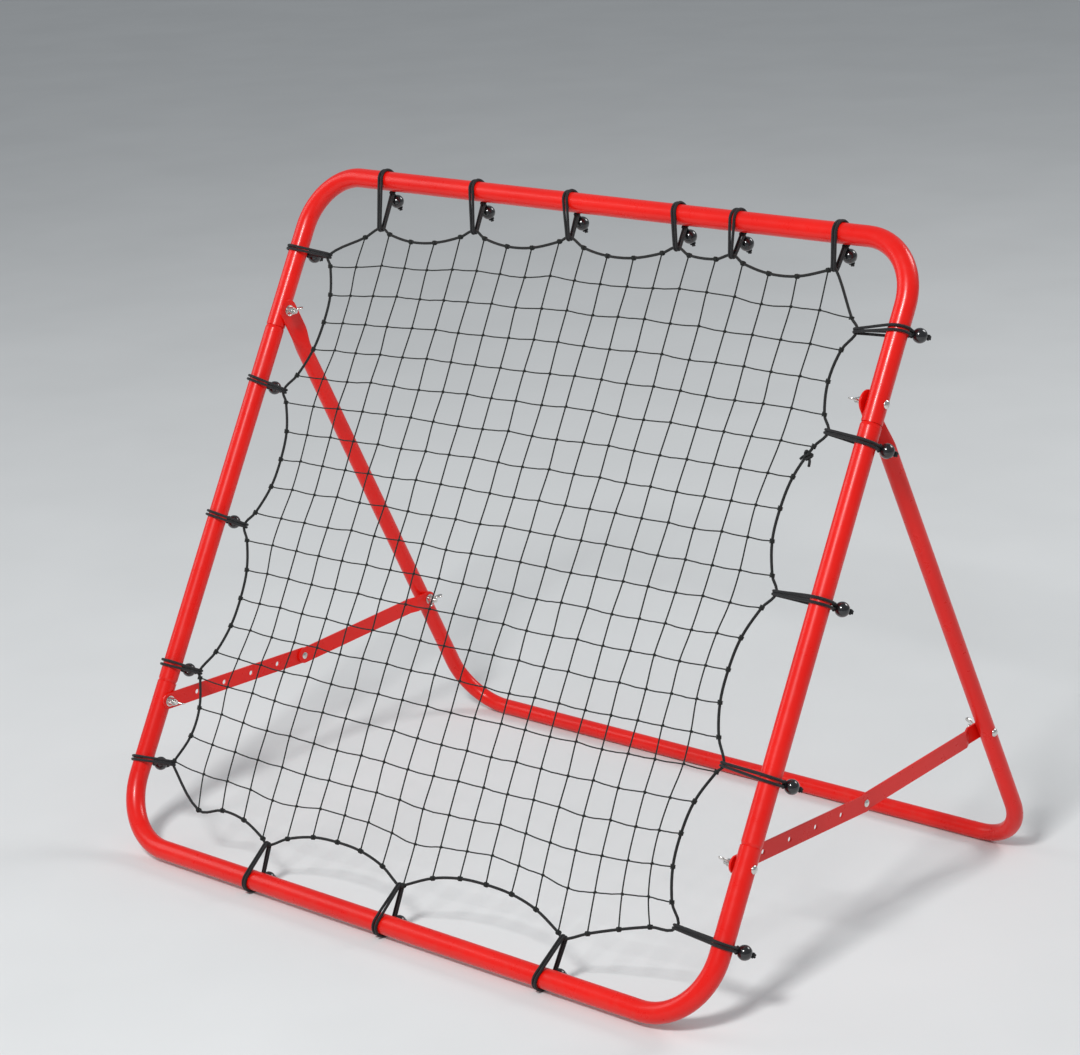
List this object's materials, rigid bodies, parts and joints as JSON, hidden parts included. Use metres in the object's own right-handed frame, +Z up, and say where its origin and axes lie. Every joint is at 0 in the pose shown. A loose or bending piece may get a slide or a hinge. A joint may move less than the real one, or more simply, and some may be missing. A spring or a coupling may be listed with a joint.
{
  "type": "pitch back rebounder",
  "caption": "Leaning tubular frame with a square net hung inside on elastic ball ties, held up by a folding rear frame and riveted two-bar side stays, for rebounding balls.",
  "frame": {"origin": "centre of the bounding box in plan, on the ground that the bars rest on", "axes": "+X runs along the ground bars, to the right when the object is seen from its front; -Y is the front, the side balls are thrown at; +Z is up"},
  "size_m": [1.0179, 0.6783, 0.827],
  "materials": {
    "red_paint": "glossy powder coat",
    "zinc": "bright zinc plate",
    "net": "knotted black twine net",
    "elastic_cord": "woven elastic cord",
    "ball": "glossy black"
  },
  "bodies": {
    "front_frame": {"top_tube": "red_paint", "left_side_tube": "red_paint", "right_side_tube": "red_paint", "bottom_tube": "red_paint", "hinge_bolts": "zinc", "front_stay_bolts": "zinc", "front_washers": "zinc", "netting": "net", "border_cord": "elastic_cord", "top_ties": "elastic_cord", "left_ties": "elastic_cord", "right_ties": "elastic_cord", "bottom_ties": "elastic_cord", "hinge_tie": "elastic_cord", "hinge_ball": "ball", "top_balls": "ball", "left_balls": "ball", "right_balls": "ball", "bottom_balls": "ball"},
    "rear_frame": {"rear_tube": "red_paint", "rear_stay_bolts": "zinc", "rear_washers": "zinc"},
    "left_front_bar": {"left_front_stay": "red_paint", "left_rivet_head": "zinc"},
    "right_front_bar": {"right_front_stay": "red_paint", "right_rivet_head": "zinc"},
    "left_rear_bar": {"left_rear_stay": "red_paint", "left_rivet_tail": "zinc"},
    "right_rear_bar": {"right_rear_stay": "red_paint", "right_rivet_tail": "zinc"},
    "left_hinge_nut": {"left_hinge_wing_nut": "zinc"},
    "left_front_nut": {"left_front_wing_nut": "zinc"},
    "left_rear_nut": {"left_rear_wing_nut": "zinc"},
    "right_hinge_nut": {"right_hinge_wing_nut": "zinc"},
    "right_front_nut": {"right_front_wing_nut": "zinc"},
    "right_rear_nut": {"right_rear_wing_nut": "zinc"}
  },
  "joints": [
    {"name": "rear_frame_fold", "type": "hinge", "parent": "front_frame", "child": "rear_frame", "pos_m": [0, 0.03318, 0.64506], "axis": [-1, 0, 0], "range_deg": [0, 28], "deforming": ["hinge_tie"]},
    {"name": "left_front_bar_swing", "type": "hinge", "parent": "front_frame", "child": "left_front_bar", "pos_m": [-0.4736, -0.231, 0.17812], "axis": [-1, 0, 0], "range_deg": [0, 67.6]},
    {"name": "left_rear_bar_swing", "type": "hinge", "parent": "rear_frame", "child": "left_rear_bar", "pos_m": [-0.4666, 0.24743, 0.185], "axis": [1, 0, 0], "range_deg": [0, 74.9]},
    {"name": "right_front_bar_swing", "type": "hinge", "parent": "front_frame", "child": "right_front_bar", "pos_m": [0.4736, -0.231, 0.17812], "axis": [-1, 0, 0], "range_deg": [0, 67.6]},
    {"name": "right_rear_bar_swing", "type": "hinge", "parent": "rear_frame", "child": "right_rear_bar", "pos_m": [0.4666, 0.24743, 0.185], "axis": [1, 0, 0], "range_deg": [0, 74.9]},
    {"name": "left_hinge_nut_spin", "type": "hinge", "parent": "front_frame", "child": "left_hinge_nut", "pos_m": [-0.4663, 0.03318, 0.64506], "axis": [1, 0, 0], "continuous": true},
    {"name": "left_front_nut_spin", "type": "hinge", "parent": "front_frame", "child": "left_front_nut", "pos_m": [-0.4673, -0.231, 0.17812], "axis": [1, 0, 0], "continuous": true},
    {"name": "left_rear_nut_spin", "type": "hinge", "parent": "rear_frame", "child": "left_rear_nut", "pos_m": [-0.4603, 0.24743, 0.185], "axis": [1, 0, 0], "continuous": true},
    {"name": "right_hinge_nut_spin", "type": "hinge", "parent": "front_frame", "child": "right_hinge_nut", "pos_m": [0.4663, 0.03318, 0.64506], "axis": [1, 0, 0], "continuous": true},
    {"name": "right_front_nut_spin", "type": "hinge", "parent": "front_frame", "child": "right_front_nut", "pos_m": [0.4673, -0.231, 0.17812], "axis": [1, 0, 0], "continuous": true},
    {"name": "right_rear_nut_spin", "type": "hinge", "parent": "rear_frame", "child": "right_rear_nut", "pos_m": [0.4603, 0.24743, 0.185], "axis": [1, 0, 0], "continuous": true}
  ],
  "couplings": [
    {"joint": "left_front_bar_swing", "follows": "rear_frame_fold", "ratio": 2.4119},
    {"joint": "left_rear_bar_swing", "follows": "rear_frame_fold", "ratio": 2.6724},
    {"joint": "right_front_bar_swing", "follows": "rear_frame_fold", "ratio": 2.4119},
    {"joint": "right_rear_bar_swing", "follows": "rear_frame_fold", "ratio": 2.6724}
  ]
}
